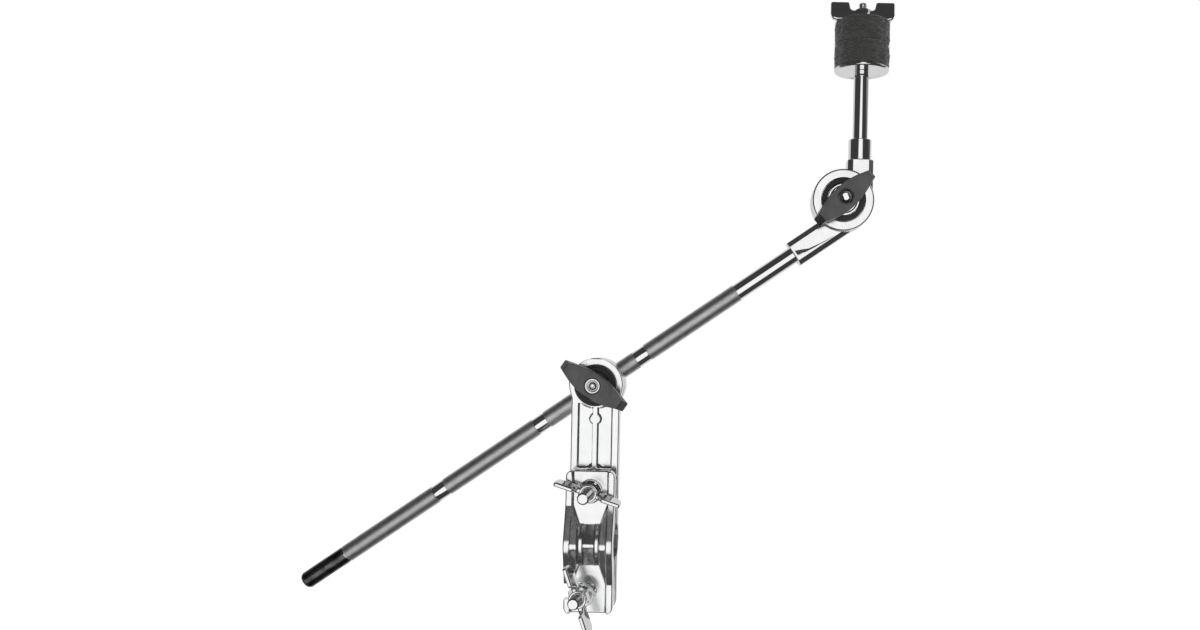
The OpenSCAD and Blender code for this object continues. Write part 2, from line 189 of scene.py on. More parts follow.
def prism(outline, h0, h1, edge=0, steps=4):
    """Extrudes a closed outline from h0 to h1 with its end edges rounded by edge, or square."""
    pts = [Vector(p) for p in outline]
    n = len(pts)
    area = sum(pts[i].x * pts[(i + 1) % n].y - pts[(i + 1) % n].x * pts[i].y for i in range(n))
    if area < 0:
        pts.reverse()
    inward = []
    for i in range(n):
        u = (pts[i] - pts[i - 1]).normalized()
        v = (pts[(i + 1) % n] - pts[i]).normalized()
        a, b = Vector((-u.y, u.x)), Vector((-v.y, v.x))
        mid = (a + b).normalized()
        inward.append(mid / max(0.5, mid.dot(a)))
    quarter = [math.pi / 2 * k / steps for k in range(steps + 1)]
    levels = [(edge * (1 - math.sin(a)), h0 + edge * (1 - math.cos(a))) for a in quarter]
    if not edge:
        levels = [(0, h0)]
    levels += [(d, h0 + h1 - h) for d, h in reversed(levels)]
    verts = [(*(p + w * d), h) for d, h in levels for p, w in zip(pts, inward)]
    faces = grid_faces(len(levels), n, wrap_cols=True)
    faces.append(tuple(reversed(range(n))))
    faces.append(tuple(range((len(levels) - 1) * n, len(levels) * n)))
    return verts, faces


def thread(r, pitch, depth, z0, z1, tip=1.0, seg=40, per=8):
    """Threaded rod from z0 to z1, with a bevelled tip at z1."""
    rows = max(2, int((z1 - z0) / pitch * per))
    verts = [(0, 0, z0)]
    for j in range(rows + 1):
        z = z0 + (z1 - z0) * j / rows
        fade = min(1, (z - z0) / pitch, (z1 - z) / pitch + 0.3)
        for k in range(seg):
            t = (z / pitch - k / seg) % 1
            cut = depth * fade * max(0, 1.25 * abs(2 * t - 1) - 0.25)
            rr = min(r - cut, r - max(0, z - z1 + tip))
            verts.append(polar(rr, TAU * k / seg, z))
    verts.append((0, 0, z1))
    faces = grid_faces(rows + 1, seg, wrap_cols=True, start=1)
    last = 1 + rows * seg
    for k in range(seg):
        m = (k + 1) % seg
        faces.append((0, 1 + m, 1 + k))
        faces.append((last + k, last + m, len(verts) - 1))
    return verts, faces


def coil(r, wire, z0, z1, turns, sides=10, per=32):
    """Closed helical spring of round wire."""
    steps = int(turns * per)
    verts = []
    for i in range(steps + 1):
        a = TAU * i / per
        z = z0 + wire + (z1 - z0 - 2 * wire) * i / steps
        for k in range(sides):
            b = TAU * k / sides
            rr = r + wire * math.cos(b)
            verts.append(polar(rr, a, z + wire * math.sin(b)))
    faces = grid_faces(steps + 1, sides, wrap_cols=True)
    faces.append(tuple(range(sides)))
    faces.append(tuple(reversed(range(steps * sides, (steps + 1) * sides))))
    return verts, faces


def moved(shape, matrix):
    return [matrix @ Vector(v) for v in shape[0]], shape[1]


def merged(*shapes):
    verts, faces = [], []
    for v, f in shapes:
        faces += [tuple(i + len(verts) for i in face) for face in f]
        verts += [tuple(p) for p in v]
    return verts, faces


def add_object(name, data):
    obj = bpy.data.objects.new(name, data)
    bpy.context.collection.objects.link(obj)
    return obj


def new_object(name, shape, at):
    """Mesh object from a shape in millimetres of the local frame at."""
    mesh = bpy.data.meshes.new(name)
    mesh.from_pydata([at @ Vector(v) * MM for v in shape[0]], [], shape[1])
    bm = bmesh.new()
    bm.from_mesh(mesh)
    bmesh.ops.recalc_face_normals(bm, faces=bm.faces)
    bm.to_mesh(mesh)
    bm.free()
    return add_object(name, mesh)


def bake_modifiers(obj):
    graph = bpy.context.evaluated_depsgraph_get()
    mesh = bpy.data.meshes.new_from_object(obj.evaluated_get(graph))
    obj.modifiers.clear()
    obj.data = mesh


def drill(radius, z0, z1, at, seg=96):
    """Round cutter about the local Z axis."""
    return new_object("cutter", lathe([(0, z0), (radius, z0), (radius, z1), (0, z1)], seg), at)


def saw(outline, z0, z1, at):
    """Cutter with a square-edged outline."""
    return new_object("cutter", prism(outline, z0, z1), at)


def cut(obj, *cutters):
    """Cuts the cutters from obj with exact booleans, removes them and welds the seams."""
    for cutter in cutters:
        mod = obj.modifiers.new("cut", "BOOLEAN")
        mod.operation = "DIFFERENCE"
        mod.solver = "EXACT"
        mod.object = cutter
        bake_modifiers(obj)
        bpy.data.objects.remove(cutter)
    bm = bmesh.new()
    bm.from_mesh(obj.data)
    bmesh.ops.remove_doubles(bm, verts=bm.verts, dist=2e-6)
    bm.to_mesh(obj.data)
    bm.free()


def join(a, b):
    bm = bmesh.new()
    bm.from_mesh(a.data)
    bm.from_mesh(b.data)
    bm.to_mesh(a.data)
    bm.free()
    bpy.data.objects.remove(b)
    return a


def shade(obj):
    """Smooth shading that keeps flats flat and edges crisp."""
    obj.data.shade_smooth()
    obj.data.set_sharp_from_angle(angle=CREASE)
    mod = obj.modifiers.new("normals", "WEIGHTED_NORMAL")
    mod.keep_sharp = True
    mod.weight = 80
    bake_modifiers(obj)


def piece(name, shape, at, body, node, slot, *materials):
    """A finished piece that stands for a CAD node of its body."""
    obj = shape if isinstance(shape, bpy.types.Object) else new_object(name, shape, at)
    for m in materials:
        obj.data.materials.append(m)
    shade(obj)
    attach(obj, body)
    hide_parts(node)
    return obj


def ramp01(x):
    t = np.clip(x, 0, 1)
    return t * t * (3 - 2 * t)


def wall(distance, width):
    """0 outside an edge, 1 inside it, with a rounded slope of that width centred on it."""
    return ramp01(distance / width + 0.5)


def plate(rows, half_width, front, back, edge, cols=97):
    """Casting between a front and a back height field, rounded along its outline.

    rows: Z values. half_width(z): half the outline's width. front, back: heights over (x, z).
    edge: distance inside the outline over which each side rounds off.
    """
    u = np.sin(np.linspace(-1, 1, cols) * math.pi / 2 * 0.82) / math.sin(math.pi / 2 * 0.82)
    z = np.repeat(rows[:, None], cols, 1)
    x = np.repeat(half_width(rows)[:, None], cols, 1) * u[None, :]
    hw = half_width(rows)[:, None]
    inside = np.minimum(np.minimum(hw - np.abs(x), z - rows[0]), rows[-1] - z)
    inside = np.clip(inside, 0, edge)
    drop = edge - np.sqrt(np.maximum(0, edge ** 2 - (edge - inside) ** 2))
    f = front(x, z) - drop
    b = back(x, z) + drop
    n, m = len(rows), cols
    verts = [(x[i, k], z[i, k], f[i, k]) for i in range(n) for k in range(m)]
    verts += [(x[i, k], z[i, k], b[i, k]) for i in range(n) for k in range(m)]
    faces = grid_faces(n, m)
    faces += [tuple(reversed(q)) for q in grid_faces(n, m, start=n * m)]
    rim = list(range(m)) + [i * m + m - 1 for i in range(1, n)]
    rim += [(n - 1) * m + k for k in range(m - 2, -1, -1)] + [i * m for i in range(n - 2, 0, -1)]
    for this, after in zip(rim, rim[1:] + rim[:1]):
        faces.append((after, this, this + n * m, after + n * m))
    return verts, faces


# ---------------------------------------------------------------- materials

class Paint:
    """A procedural material around one Principled shader."""

    def __init__(self, name, **values):
        self.material = bpy.data.materials.new(name)
        self.material.use_nodes = True
        self.tree = self.material.node_tree
        self.shader = self.tree.nodes["Principled BSDF"]
        self.coords = self.tree.nodes.new("ShaderNodeTexCoord").outputs["Object"]
        self.normal = None
        for key, value in values.items():
            self.shader.inputs[key.replace("_", " ")].default_value = value

    def noise(self, size_mm, detail=3, stretch=(1, 1, 1), rotate=(0, 0, 0), rough=0.5):
        mapping = self.tree.nodes.new("ShaderNodeMapping")
        mapping.inputs["Scale"].default_value = [s / (size_mm * MM) for s in stretch]
        mapping.inputs["Rotation"].default_value = rotate
        tex = self.tree.nodes.new("ShaderNodeTexNoise")
        tex.inputs["Scale"].default_value = 1
        tex.inputs["Detail"].default_value = detail
        tex.inputs["Roughness"].default_value = rough
        self.tree.links.new(self.coords, mapping.inputs["Vector"])
        self.tree.links.new(mapping.outputs["Vector"], tex.inputs["Vector"])
        return tex.outputs["Fac"]

    def ramp(self, value, *stops):
        node = self.tree.nodes.new("ShaderNodeValToRGB")
        ramp = node.color_ramp
        for i, (at, colour) in enumerate(stops):
            stop = ramp.elements[i] if i < 2 else ramp.elements.new(at)
            stop.position = at
            stop.color = (*colour, 1) if isinstance(colour, tuple) else (colour, colour, colour, 1)
        self.tree.links.new(value, node.inputs["Fac"])
        return node.outputs["Color"]

    def mix(self, a, b, fac=0.5):
        node = self.tree.nodes.new("ShaderNodeMix")
        node.data_type = "RGBA"
        node.inputs[0].default_value = fac
        self.tree.links.new(a, node.inputs[6])
        self.tree.links.new(b, node.inputs[7])
        return node.outputs[2]

    def set(self, name, value):
        self.tree.links.new(value, self.shader.inputs[name])

    def bump(self, height, distance_mm, strength=1.0):
        node = self.tree.nodes.new("ShaderNodeBump")
        node.inputs["Strength"].default_value = strength
        node.inputs["Distance"].default_value = distance_mm * MM
        self.tree.links.new(height, node.inputs["Height"])
        if self.normal:
            self.tree.links.new(self.normal, node.inputs["Normal"])
        self.normal = node.outputs["Normal"]
        self.tree.links.new(self.normal, self.shader.inputs["Normal"])


def chrome(name, bright, rough, wave_mm, wave_depth, worn=2.2):
    """Bright plating: faint haze, fine rubbing marks and the ripple of the metal below."""
    p = Paint(name, Metallic=1.0)
    haze = p.noise(9, 4)
    rub = p.noise(0.7, 3, stretch=(1, 1, 0.12), rotate=(0.4, 0.3, 0.2))
    p.set("Base Color", p.ramp(haze, (0.3, tuple(bright * c for c in (0.985, 0.99, 1.0))),
                               (0.75, tuple(bright * c for c in (0.94, 0.94, 0.935)))))
    p.set("Roughness", p.ramp(p.mix(haze, rub), (0.3, rough * 0.6), (0.62, rough), (0.8, rough * worn)))
    p.bump(p.noise(wave_mm, 2), wave_depth)
    return p.material


casting_chrome = chrome("casting_chrome", 0.93, 0.21, 9, 0.02, 1.35)
jaw_chrome = chrome("jaw_chrome", 0.94, 0.24, 9, 0.02, 1.15)
steel_chrome = chrome("steel_chrome", 0.90, 0.05, 16, 0.008)
nut_chrome = chrome("nut_chrome", 0.86, 0.075, 4.5, 0.03)


def knurl_paint():
    p = Paint("knurled_satin", Metallic=1.0)
    worn = p.noise(6, 4)
    grit = p.noise(0.5, 2)
    p.set("Base Color", p.ramp(p.mix(worn, grit), (0.32, (0.66, 0.66, 0.66)), (0.68, (0.92, 0.92, 0.91))))
    p.set("Roughness", p.ramp(grit, (0.3, 0.44), (0.75, 0.58)))
    p.bump(grit, 0.02, 0.6)
    return p.material


def worn_tube_paint():
    p = Paint("worn_tube", Metallic=1.0)
    blotch = p.noise(5.5, 5, rough=0.62)
    streak = p.noise(1.2, 3, stretch=(0.1, 1, 1), rotate=(0, -0.61, 0))
    p.set("Base Color", p.ramp(blotch, (0.34, (0.055, 0.055, 0.058)), (0.62, (0.19, 0.19, 0.195))))
    p.set("Roughness", p.ramp(p.mix(blotch, streak), (0.35, 0.22), (0.68, 0.40)))
    p.bump(p.mix(blotch, streak), 0.03, 0.5)
    return p.material


def dark_steel_paint():
    p = Paint("dark_steel", Metallic=1.0)
    oxide = p.noise(1.6, 4)
    p.set("Base Color", p.ramp(oxide, (0.3, (0.12, 0.12, 0.125)), (0.7, (0.30, 0.30, 0.31))))
    p.set("Roughness", p.ramp(oxide, (0.3, 0.28), (0.7, 0.45)))
    p.bump(p.noise(0.4, 3), 0.01)
    return p.material


def plastic_paint(name, dark, light, rough_lo, rough_hi):
    """Moulded plastic: spark-eroded grain, faint flow marks and rubbed high spots."""
    p = Paint(name, Specular_IOR_Level=0.5, Coat_Weight=0.06, Coat_Roughness=0.35)
    flow = p.noise(7, 4, stretch=(1, 1, 0.5))
    grain = p.noise(0.32, 2)
    p.set("Base Color", p.ramp(flow, (0.3, (dark, dark, dark * 1.03)), (0.72, (light, light, light * 1.04))))
    p.set("Roughness", p.ramp(p.mix(flow, grain, 0.6), (0.32, rough_lo), (0.7, rough_hi)))
    p.bump(grain, 0.012, 0.8)
    return p.material


def felt_paint():
    """Pressed wool: matted clumps, pale stray fibres and a soft nap."""
    p = Paint("pressed_felt", Roughness=0.96, Specular_IOR_Level=0.15, Sheen_Weight=0.35, Sheen_Roughness=0.6)
    clump = p.noise(3.2, 5, stretch=(1, 1, 1.6), rough=0.65)
    fibre = p.noise(0.55, 4, stretch=(1, 1, 2.6), rough=0.7)
    colour = p.mix(p.ramp(clump, (0.3, (0.019, 0.019, 0.018)), (0.7, (0.050, 0.049, 0.047))),
                   p.ramp(fibre, (0.42, (0.020, 0.020, 0.019)), (0.62, (0.048, 0.048, 0.045)),
                          (0.74, (0.115, 0.115, 0.108))), 0.5)
    p.set("Base Color", colour)
    p.bump(clump, 0.5, 0.7)
    p.bump(fibre, 0.22, 0.8)
    return p.material


knurl_mat = knurl_paint()
tube_end_mat = worn_tube_paint()
dark_steel = dark_steel_paint()
lever_mat = plastic_paint("lever_plastic", 0.050, 0.092, 0.38, 0.52)
# A darker copy of the lever plastic, used as painted shade on the lever's end facets.
lever_end_shade_mat = plastic_paint("lever_end_painted_shade", 0.008, 0.014, 0.40, 0.55)
disc_mat = plastic_paint("disc_rubber", 0.012, 0.022, 0.42, 0.6)
sleeve_mat = plastic_paint("sleeve_nylon", 0.05, 0.08, 0.4, 0.55)
felt_mat = felt_paint()


# ---------------------------------------------------------------- clamp and bracket

half_width = 16.75
half_gap = 6.0
grip_r = 12.7
low_z, top_z = -47.0, 50.6
corner_r = 4.0
flat_h = 13.5
swell_z, swell_slope = 27.0, 0.32


def end_rounded(z, lo, hi, w, r):
    """Half width of a bar whose ends have rounded corners."""
    from_end = np.clip(np.minimum(z - lo, hi - z), 0, r)
    return w - r + np.sqrt(np.maximum(0, r ** 2 - (r - from_end) ** 2))


def rows_between(lo, hi, step, ends=12):
    body = np.linspace(lo + corner_r, hi - corner_r, int((hi - lo) / step))
    t = 1 - np.cos(np.linspace(0, math.pi / 2, ends))
    return np.concatenate([lo + corner_r * t[:-1], body, hi - corner_r * t[::-1][1:]])


def tent(z, slope, reach, crest):
    """Ridge along X: straight flanks that fall from a rounded crest to 0 at reach."""
    radius = crest / math.sin(math.atan(slope))
    a = np.abs(z)
    top = slope * (reach - crest) + radius * (1 - math.cos(math.atan(slope)))
    round_part = top - (radius - np.sqrt(np.maximum(0, radius ** 2 - np.minimum(a, crest) ** 2)))
    return np.where(a < crest, round_part, np.clip(slope * (reach - a), 0, None))


def jaw_front(x, z):
    a = np.abs(x)
    rim = flat_h + tent(z, swell_slope, swell_z, 5.0)
    flank = flat_h - 0.8 + tent(z, swell_slope, swell_z, 2.2)
    inner = wall(12.35 - a, 0.7)
    h = rim * (1 - inner) + flank * inner
    side = np.interp(np.abs(z), [13, swell_z], [7.2, 11.95])
    strip = np.maximum(10.0, np.sqrt(np.maximum(0, 17.3 ** 2 - z ** 2)))
    groove = np.maximum(10.0, 9.9 + tent(z, 0.44, 14.2, 1.6))
    cut_groove = wall(4.0 - a, 0.9)
    floor = strip * (1 - cut_groove) + groove * cut_groove
    pocket = wall(side - a, 1.3)
    return h * (1 - pocket) + np.minimum(floor, h) * pocket


def jaw_back(x, z):
    bore = np.sqrt(np.maximum(0, grip_r ** 2 - z ** 2))
    return np.maximum(half_gap, bore)


rows = rows_between(low_z, top_z, 0.42)
jaw = new_object("jaw_front_casting", plate(
    rows, lambda z: end_rounded(z, low_z, top_z, half_width, corner_r), jaw_front, jaw_back, 1.1), at_part)
slot_r = 5.5
slot_line = fillet([(-30, swing_pivot.z - slot_r), (slot_r, swing_pivot.z - slot_r, slot_r - 0.05),
                    (slot_r, swing_pivot.z + slot_r, slot_r - 0.05), (-30, swing_pivot.z + slot_r)], True, 12)
cut(jaw, saw(slot_line, 0, 40, at_part), drill(4.4, 0, 40, at_jaw_bolt, 48))
piece("jaw_front_casting", jaw, None, "jaw", "front_jaw", "chrome_casting", jaw_chrome)

head_r = 19.0
arm_front, arm_floor, arm_back = -4.0, -7.0, -14.0
arm_low = 44.0
panel_half, panel_low, back_panel_top = 11.65, 50.4, 85.5
boss_r, boss_z = 3.9, 84.8


def bracket_half_width(z):
    arm = end_rounded(z, low_z, hub.z + 40, half_width, corner_r)
    head = np.sqrt(np.maximum(0, head_r ** 2 - (z - hub.z) ** 2))
    blend = 1.2
    joint = 0.5 * (arm + head + np.sqrt((arm - head) ** 2 + blend ** 2)) - 0.5 * blend * np.exp(
        -((arm - head) / 3) ** 2)
    return np.where(z > hub.z, head, np.maximum(joint, arm))


def bracket_front(x, z):
    a = np.abs(x)
    r = np.hypot(x, z - hub.z)
    upper = wall(z - arm_low, 1.6)
    h = -half_gap * (1 - upper) + arm_front * upper
    side = wall(panel_half - a, 1.1)
    cove = ramp01((z - panel_low) / (1.1 + 2.2 * np.exp(-((a - 1.9) / 2.2) ** 2)))
    clear_head = wall(r - 16.2, 1.1)
    rib = wall(1.85 - a, 1.0)
    boss = wall(boss_r - np.hypot(x, z - boss_z), 1.0)
    below_head = wall(hub.z - 13.0 - z, 1.1)
    panel = side * cove * clear_head * below_head * (1 - np.maximum(rib, boss))
    return h * (1 - panel) + arm_floor * panel


def bracket_back(x, z):
    bulge = -np.sqrt(np.maximum(0, 18.0 ** 2 - z ** 2))
    panel = wall(panel_half - np.abs(x), 1.4) * wall(z - panel_low, 1.4) * wall(back_panel_top - z, 1.4)
    return np.minimum(arm_back + 2 * panel, bulge)


head_rows = hub.z - corner_r + (head_r + corner_r) * np.sin(np.linspace(0.02, math.pi / 2, 70)) - 1e-3
rows = np.concatenate([rows_between(low_z, hub.z, 0.5)[:-12], [hub.z - corner_r], head_rows])
bracket = new_object("bracket_casting", plate(
    rows, bracket_half_width, bracket_front, bracket_back, 1.0), at_part)
eye_low, eye_high, eye_right = swing_pivot.z - 5.2, swing_pivot.z + 5.2, 7.3
eye_slot = [(-30, eye_low), (eye_right, eye_low), (eye_right, eye_high), (-30, eye_high)]
tube_seat = place((0, 0, 0), RIGHT, FRONT)
cut(bracket, saw(eye_slot, -40, 0, at_part), drill(grip_r, -20, 20, tube_seat, 160),
    drill(3.06, -40, 0, at_hub, 48))
piece("bracket_casting", bracket, None, "bracket", "bracket_arm", "chrome_casting", casting_chrome)

# The jaw bolt has a square neck behind a domed head
bolt_end = 45.0
bolt = merged(
    thread(*M8, -5.0, bolt_end),
    lathe([(0, -18.4), (3.0, -18.3), (6.5, -17.3), (8.6, -15.3, 0.5), (9.0, -14.3, 0.3), (8.8, -14.0),
           (0, -14.0)], 96),
    prism(fillet([(-4, -4, 0.6), (4, -4, 0.6), (4, 4, 0.6), (-4, 4, 0.6)]), -14.2, -4.8, 0.2))
piece("jaw_bolt_threaded", bolt, at_jaw_bolt, "bracket", "jaw_bolt", "chrome_steel", steel_chrome)


def washer(outer, bore, z0, thick, edge=0.35):
    return lathe([(bore, z0, 0.15), (outer, z0, edge), (outer, z0 + thick, edge), (bore, z0 + thick, 0.15)],
                 closed=True)


washer_r, washer_thick = 8.3, 1.6
piece("jaw_washer_steel", washer(washer_r, 4.3, 10.0, washer_thick), at_jaw_bolt, "jaw", "jaw_washer",
      "chrome_steel", steel_chrome)


def wing_nut(bore, foot):
    """Cast wing nut: turned hub with a flared foot, and two rounded wings with a swept inner edge."""
    top = 8.8 + foot
    hub_line = [(bore + 0.06, 0.3), (bore + 0.5, 0, 0), (8.0, 0, 0.4), (8.0, 1.6 + foot / 2, 0.7),
                (6.9, 2.4 + foot, 1.2), (6.1, 5.5 + foot, 1.0), (6.0, top, 0.9), (bore + 0.6, top, 0.2),
                (bore + 0.06, top - 0.6)]
    side = fillet([(3.2, 1.2, 0), (18.5, 0.9, 4), (21.8, 1.7, 2.4), (23.3, 5.2, 2.6), (23.3, 14.4, 1.5),
                   (9.9, 14.4, 1.6), (8.6, 8.6, 2.2), (3.2, 8.3, 0)], True, 6)
    verts, faces = prism([(p[0], p[1] + foot) for p in side], -2.35, 2.35, 1.45, 6)
    wing = [(x, y, z * (1.0 - 0.034 * (y - foot - 3))) for x, y, z in verts], faces
    return merged(lathe(hub_line, 96, closed=True), moved(wing, ON_EDGE),
                  moved(wing, Matrix.Rotation(math.pi, 4, "Z") @ ON_EDGE))


clamp_foot, swing_reach = 3.6, 31.0
piece("jaw_nut_cast", wing_nut(4.0, clamp_foot), turned(at_jaw_bolt, -18, 11.8), "jaw_nut",
      "jaw_wing_nut", "chrome_steel", nut_chrome)
piece("swing_nut_cast", wing_nut(4.0, clamp_foot), turned(at_swing, -70, swing_reach + 1.8), "swing_nut",
      "swing_wing_nut", "chrome_steel", nut_chrome)
piece("swing_washer_steel", washer(washer_r, 4.06, swing_reach, washer_thick), at_swing, "swing_slider",
      "swing_washer", "chrome_steel", steel_chrome)
eye = moved(lathe([(2.56, -4.8, 0.3), (6.5, -4.8, 0.9), (6.5, 4.8, 0.9), (2.56, 4.8, 0.3)], 64, closed=True),
            ON_EDGE)
piece("swing_bolt_eye", merged(eye, thread(*M8, 6.0, 56.0),
                               lathe([(0, 3.5), (4, 3.5), (4, 6.4), (0, 6.4)], 40)),
      at_swing, "swing", "swing_bolt", "chrome_steel", steel_chrome)
piece("swing_pin_steel", lathe([(0, -12), (2.5, -12, 0.4), (2.5, 12, 0.4), (0, 12)], 48),
      place((0, swing_pivot.y, swing_pivot.z), UP, RIGHT), "bracket", "swing_pin", "plain_steel", dark_steel)

# ---------------------------------------------------------------- boom holder

eye_bore, insert_r = 6.41, 5.5
drum = new_object("holder_drum_turned", lathe(
    [(3.3, -14.3), (head_r, -14.3, 0.8), (head_r, -28, 1.2), (3.3, -28)], 144, closed=True), at_hub)
cut(drum, drill(eye_bore, -60, 60, at_boom), drill(7.5, -19.3, -10, at_hub, 64),
    saw([(-60, -11), (10.6, -11), (10.6, 11), (-60, 11)], -5.4, 5.4, at_boom))
piece("holder_drum_turned", drum, None, "holder", "holder_drum", "chrome_steel", steel_chrome)
eye_ring = moved(lathe([(eye_bore, -5, 0.3), (10.3, -5, 0.8), (10.3, 5, 0.8), (eye_bore, 5, 0.3)], 96,
                       closed=True), at_hub.inverted() @ at_boom)
shank = lathe([(0, -22), (3, -22), (3, 11.6, 0.4), (1.2, 12.4, 0.25), (1.2, 11.2, 0.2), (0, 11.0)], 64)
piece("eye_bolt_forged", merged(eye_ring, shank), at_hub, "holder", "eye_bolt", "chrome_steel", steel_chrome)
piece("holder_spring_coil", coil(5.4, 0.5, -19.2, -14.4, 3), at_hub, "holder", "holder_spring", "plain_steel",
      dark_steel)
holder_disc = lathe([(3.3, -4.0), (14.6, -4.0, 0.2), (14.6, 0, 0.5), (12.9, 0, 0.3), (12.4, 1.0, 0.35),
                     (10.4, 1.0, 0.35), (9.9, 0.1, 0.3), (3.3, 0.1)], 128, closed=True)
piece("holder_disc_moulded", holder_disc, at_hub, "bracket", "holder_washer", "black_disc", disc_mat)


def lever(name, at, turn, base, body, node):
    """Moulded two-ended lever: swelling middle, rounded edges and ends that slope back; its outward end
    facets get a darker plastic as painted shade.
    """
    tip, bend, top = 26.4, 19.5, base + 13
    half = [(tip, -3.3, 1.0), (tip, 3.3, 1.0), (15, 6.4, 9), (7, 8.4, 5), (-7, 8.4, 5), (-15, 6.4, 9),
            (-tip, 3.3, 1.0), (-tip, -3.3, 1.0), (-15, -6.4, 9), (-7, -8.4, 5), (7, -8.4, 5), (15, -6.4, 9)]
    own = turned(at, turn)
    bar = new_object(name, prism(fillet(half, True, 6), base + 3.6, top, 0.75), own)
    cut(bar, new_object("cutter", lathe([(0, base - 1), (insert_r, base - 1), (insert_r, top - 0.5),
                                         (insert_r + 0.7, top + 0.2), (0, top + 1)], 96), at))
    back = own.inverted()
    for v in bar.data.vertices:
        q = back @ (v.co / MM)
        past = max(0, abs(q.x) - bend) / (tip - bend)
        q.x -= math.copysign(past * 4.2 * max(0, q.z - base - 6.0) / 7.0, q.x)
        v.co = (own @ q) * MM
    foot = new_object("foot", lathe([(insert_r, base), (8.6, base, 0.5), (8.6, base + 4.2),
                                     (insert_r, base + 4.2)], 96, closed=True), at)
    bar = join(bar, foot)
    along = back.to_3x3()
    # Outward-facing faces past the bend take the darker second material: painted shade on the end facets.
    for face in bar.data.polygons:
        painted_shade_facet = abs((along @ face.normal).x) > 0.6 and abs((back @ (face.center / MM)).x) > bend
        face.material_index = 1 if painted_shade_facet else 0
    return piece(name, bar, None, body, node, "black_lever", lever_mat, lever_end_shade_mat)


lever("holder_lever_moulded", at_hub, -34, 0.3, "holder_handle", "holder_lever")
insert = lathe([(3.06, 0.7), (insert_r, 0.7, 0.2), (insert_r, 12.3, 0.3), (4.9, 12.9, 0.25),
                (4.1, 12.9, 0.3), (3.7, 11.2, 0.3), (3.06, 11.0)], 96, closed=True)
piece("holder_insert_turned", insert, at_hub, "holder_handle", "holder_lever_nut", "chrome_steel",
      steel_chrome)

# ---------------------------------------------------------------- boom

boom_low, boom_high = -257.0, 195.5
plain_len, knurl_len, band_len = 35.0, 78.0, 9.6
around, knurl_step, knurl_depth = 60, 0.65, 0.085


def boom_tube():
    """Hollow tube and the material index of each face: smooth, knurled or worn at the low end."""
    smooth_r, knurl_r, bore_r = 6.1, 6.35, 4.6
    smooth, knurled, worn = range(3)
    lines = [(boom_low + 12, bore_r, worn), (boom_low, bore_r, worn), (boom_low, smooth_r - 0.45, worn),
             (boom_low + 0.45, smooth_r, worn)]
    at = boom_low + plain_len
    for i in range(4):
        count = int(knurl_len / knurl_step)
        lines += [(at - 0.3, smooth_r, worn if i == 0 else smooth), (at, smooth_r - 0.05, smooth)]
        lines += [(at + 0.3 + (knurl_len - 0.6) * j / count, None, knurled) for j in range(count + 1)]
        at += knurl_len
        lines += [(at, smooth_r - 0.05, knurled), (at + 0.3, smooth_r, smooth)]
        at += band_len
    lines += [(boom_high - 0.4, smooth_r, smooth), (boom_high, smooth_r - 0.4, smooth),
              (boom_high, bore_r, smooth), (boom_high - 12, bore_r, smooth)]
    verts, faces, finish, low = [], [], [], []
    for j, (along, r, kind) in enumerate(lines):
        for k in range(around):
            rr = r
            if r is None:
                rr = knurl_r - (knurl_depth if (j + k) % 2 else 0)
            low.append(r is None and (j + k) % 2 == 1)
            verts.append(polar(rr, TAU * k / around, along))
    for j in range(len(lines)):
        after = (j + 1) % len(lines)
        for k in range(around):
            n = (k + 1) % around
            a, b, c, d = j * around + k, j * around + n, after * around + n, after * around + k
            if lines[j][1] is None and lines[after][1] is None:
                faces += [(a, b, c), (a, c, d)] if low[a] else [(a, b, d), (b, c, d)]
                finish += [knurled, knurled]
            else:
                faces.append((a, b, c, d))
                finish.append(lines[after][2])
    return (verts, faces), finish


shape, finish = boom_tube()
tube = new_object("boom_tube_knurled", shape, at_boom)
for m in (steel_chrome, knurl_mat, tube_end_mat):
    tube.data.materials.append(m)
tube.data.polygons.foreach_set("material_index", finish)
tube.data.shade_smooth()
tube.data.set_sharp_from_angle(angle=math.radians(24))
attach(tube, "boom")
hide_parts("boom_tube")
plug = lathe([(0, boom_low + 12), (4.55, boom_low + 12, 0.6), (4.55, boom_low), (5.7, boom_low - 0.05, 0.2),
              (5.1, boom_low - 1.2, 0.4), (0, boom_low - 1.2)], 72)
piece("boom_plug_moulded", plug, at_boom, "boom", "boom_plug", "black_disc", disc_mat)

# ---------------------------------------------------------------- tilter

drum_r, tilter_half, block_half, block_cut = 22.2, 12.0, 9.3, 3.4
outside_r, inside_r = 22.8, 21.0
socket_bore = 6.16
ring_in, ring_out = 11.7, 15.5
tilter_along = (tilter - Vector((0, boom_y, hub.z))).dot(boom_dir)


def octagon():
    """Square bar of the tilter's castings, with bevelled corners."""
    h, c = block_half, block_half - block_cut
    r = 1.0
    return fillet([(-h, -c, r), (-c, -h, r), (c, -h, r), (h, -c, r), (h, c, r), (c, h, r), (-c, h, r),
                   (-h, c, r)], True, 3)


def ratchet_teeth(side):
    """Ring of 24 wedges in the recess of a drum half; side is +1 on the front half."""
    teeth, inner, outer, rise = 24, 11.6, 16.1, 0.85
    base, top = side * 1.5, side * (1.5 - rise - 0.1)
    shapes = []
    for i in range(teeth):
        a0, a1, a2 = (TAU * (i + t + (0.5 if side > 0 else 0)) / teeth for t in (-0.42, 0, 0.42))
        pts = [polar(inner, a0, base), polar(outer, a0, base), polar(outer, a2, base),
               polar(inner, a2, base), polar(inner, a1, top), polar(outer, a1, top)]
        shapes.append((pts, [(0, 1, 2, 3), (0, 4, 5, 1), (3, 2, 5, 4), (0, 3, 4), (1, 5, 2)]))
    return merged(*shapes)


